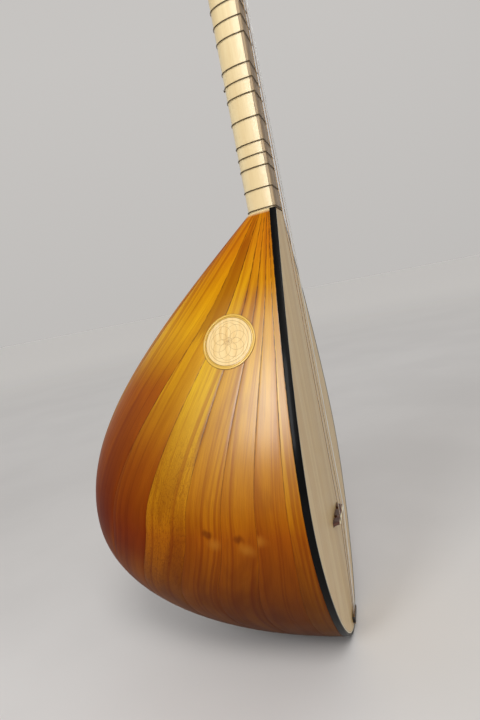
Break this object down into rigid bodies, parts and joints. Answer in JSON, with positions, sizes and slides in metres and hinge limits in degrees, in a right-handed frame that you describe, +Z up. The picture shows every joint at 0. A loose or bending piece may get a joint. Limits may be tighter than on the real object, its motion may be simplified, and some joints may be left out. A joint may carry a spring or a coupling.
{
  "type": "short-neck baglama",
  "caption": "Stave-built pear-shaped lute with a slim straight neck, tied movable frets, T-shaped tuning pegs in a tilted head, a floating bridge and metal strings.",
  "frame": {"origin": "the tail end of the soundboard's front face, on the centre line, where the bowl's tail meets the rim", "axes": "+Z up the neck towards the head, soundboard faces -Y, the bowl swells towards +Y, bass side on -X"},
  "size_m": [0.241, 0.2737, 0.9729],
  "materials": {
    "bowl_wood": "amber glossy lacquer",
    "fret_cord": "twisted thread",
    "peg_wood": "oiled hardwood",
    "black_binding": "gloss",
    "soundboard_spruce": "satin spruce",
    "inner_wood": "raw",
    "medallion_rim": "gloss",
    "medallion_face": "gloss",
    "neck_wood": "satin lacquer",
    "fingerboard_wood": "worn satin",
    "bone": "polished bone",
    "bridge_wood": "oiled hardwood",
    "dark_wood": "oiled ebony",
    "wound_string": "wound",
    "plain_string": "bright"
  },
  "bodies": {
    "instrument": {"stave_01": "bowl_wood", "stave_02": "bowl_wood", "stave_03": "bowl_wood", "stave_04": "bowl_wood", "stave_05": "bowl_wood", "stave_06": "bowl_wood", "stave_07": "bowl_wood", "stave_08": "bowl_wood", "stave_09": "bowl_wood", "stave_10": "bowl_wood", "stave_11": "bowl_wood", "stave_12": "bowl_wood", "stave_13": "bowl_wood", "stave_14": "bowl_wood", "stave_15": "bowl_wood", "tail_cap": "bowl_wood", "binding": "black_binding", "soundboard": "soundboard_spruce", "lining": "inner_wood", "brace": "inner_wood", "neck_block": "inner_wood", "tail_block": "inner_wood", "sound_hole_bush": "black_binding", "medallion_ring": "medallion_rim", "medallion_disc": "medallion_face", "neck": "neck_wood", "fingerboard": "fingerboard_wood", "headstock": "neck_wood", "nut": "bone", "bridge": "bridge_wood", "bridge_saddle": "bone", "string_holder": "dark_wood", "strings_wound": "wound_string", "strings_plain": "plain_string"},
    "peg_1": {"peg_1": "peg_wood"},
    "peg_2": {"peg_2": "peg_wood"},
    "peg_3": {"peg_3": "peg_wood"},
    "peg_4": {"peg_4": "peg_wood"},
    "peg_5": {"peg_5": "peg_wood"},
    "peg_6": {"peg_6": "peg_wood"},
    "peg_7": {"peg_7": "peg_wood"},
    "fret_01": {"fret_01": "fret_cord"},
    "fret_02": {"fret_02": "fret_cord"},
    "fret_03": {"fret_03": "fret_cord"},
    "fret_04": {"fret_04": "fret_cord"},
    "fret_05": {"fret_05": "fret_cord"},
    "fret_06": {"fret_06": "fret_cord"},
    "fret_07": {"fret_07": "fret_cord"},
    "fret_08": {"fret_08": "fret_cord"},
    "fret_09": {"fret_09": "fret_cord"},
    "fret_10": {"fret_10": "fret_cord"},
    "fret_11": {"fret_11": "fret_cord"},
    "fret_12": {"fret_12": "fret_cord"},
    "fret_13": {"fret_13": "fret_cord"},
    "fret_14": {"fret_14": "fret_cord"},
    "fret_15": {"fret_15": "fret_cord"},
    "fret_16": {"fret_16": "fret_cord"},
    "fret_17": {"fret_17": "fret_cord"},
    "fret_18": {"fret_18": "fret_cord"},
    "fret_19": {"fret_19": "fret_cord"}
  },
  "joints": [
    {"name": "peg_1_turn", "type": "hinge", "parent": "instrument", "child": "peg_1", "pos_m": [0.003, 0.00624, 0.83004], "axis": [0, -0.9781, 0.2079], "continuous": true},
    {"name": "peg_2_turn", "type": "hinge", "parent": "instrument", "child": "peg_2", "pos_m": [0.004, 0.01372, 0.86526], "axis": [0, -0.9781, 0.2079], "continuous": true},
    {"name": "peg_3_turn", "type": "hinge", "parent": "instrument", "child": "peg_3", "pos_m": [0.0052, 0.02121, 0.90047], "axis": [0, -0.9781, 0.2079], "continuous": true},
    {"name": "peg_4_turn", "type": "hinge", "parent": "instrument", "child": "peg_4", "pos_m": [0.0065, 0.02869, 0.93568], "axis": [0, -0.9781, 0.2079], "continuous": true},
    {"name": "peg_5_turn", "type": "hinge", "parent": "instrument", "child": "peg_5", "pos_m": [-0.01577, 0.01878, 0.84578], "axis": [-1, 0, 0], "continuous": true},
    {"name": "peg_6_turn", "type": "hinge", "parent": "instrument", "child": "peg_6", "pos_m": [-0.01621, 0.02627, 0.88099], "axis": [-1, 0, 0], "continuous": true},
    {"name": "peg_7_turn", "type": "hinge", "parent": "instrument", "child": "peg_7", "pos_m": [-0.01676, 0.03375, 0.91621], "axis": [-1, 0, 0], "continuous": true},
    {"name": "fret_01_slide", "type": "slide", "parent": "instrument", "child": "fret_01", "axis": [0, 0, 1], "range_m": [-0.003, 0.003]},
    {"name": "fret_02_slide", "type": "slide", "parent": "instrument", "child": "fret_02", "axis": [0, 0, 1], "range_m": [-0.003, 0.003]},
    {"name": "fret_03_slide", "type": "slide", "parent": "instrument", "child": "fret_03", "axis": [0, 0, 1], "range_m": [-0.003, 0.003]},
    {"name": "fret_04_slide", "type": "slide", "parent": "instrument", "child": "fret_04", "axis": [0, 0, 1], "range_m": [-0.003, 0.003]},
    {"name": "fret_05_slide", "type": "slide", "parent": "instrument", "child": "fret_05", "axis": [0, 0, 1], "range_m": [-0.003, 0.003]},
    {"name": "fret_06_slide", "type": "slide", "parent": "instrument", "child": "fret_06", "axis": [0, 0, 1], "range_m": [-0.003, 0.003]},
    {"name": "fret_07_slide", "type": "slide", "parent": "instrument", "child": "fret_07", "axis": [0, 0, 1], "range_m": [-0.003, 0.003]},
    {"name": "fret_08_slide", "type": "slide", "parent": "instrument", "child": "fret_08", "axis": [0, 0, 1], "range_m": [-0.003, 0.003]},
    {"name": "fret_09_slide", "type": "slide", "parent": "instrument", "child": "fret_09", "axis": [0, 0, 1], "range_m": [-0.003, 0.003]},
    {"name": "fret_10_slide", "type": "slide", "parent": "instrument", "child": "fret_10", "axis": [0, 0, 1], "range_m": [-0.003, 0.003]},
    {"name": "fret_11_slide", "type": "slide", "parent": "instrument", "child": "fret_11", "axis": [0, 0, 1], "range_m": [-0.003, 0.003]},
    {"name": "fret_12_slide", "type": "slide", "parent": "instrument", "child": "fret_12", "axis": [0, 0, 1], "range_m": [-0.003, 0.003]},
    {"name": "fret_13_slide", "type": "slide", "parent": "instrument", "child": "fret_13", "axis": [0, 0, 1], "range_m": [-0.003, 0.003]},
    {"name": "fret_14_slide", "type": "slide", "parent": "instrument", "child": "fret_14", "axis": [0, 0, 1], "range_m": [-0.003, 0.003]},
    {"name": "fret_15_slide", "type": "slide", "parent": "instrument", "child": "fret_15", "axis": [0, 0, 1], "range_m": [-0.003, 0.003]},
    {"name": "fret_16_slide", "type": "slide", "parent": "instrument", "child": "fret_16", "axis": [0, 0, 1], "range_m": [-0.003, 0.003]},
    {"name": "fret_17_slide", "type": "slide", "parent": "instrument", "child": "fret_17", "axis": [0, 0, 1], "range_m": [-0.003, 0.003]},
    {"name": "fret_18_slide", "type": "slide", "parent": "instrument", "child": "fret_18", "axis": [0, 0, 1], "range_m": [-0.003, 0.003]},
    {"name": "fret_19_slide", "type": "slide", "parent": "instrument", "child": "fret_19", "axis": [0, 0, 1], "range_m": [0, 0.003]}
  ]
}
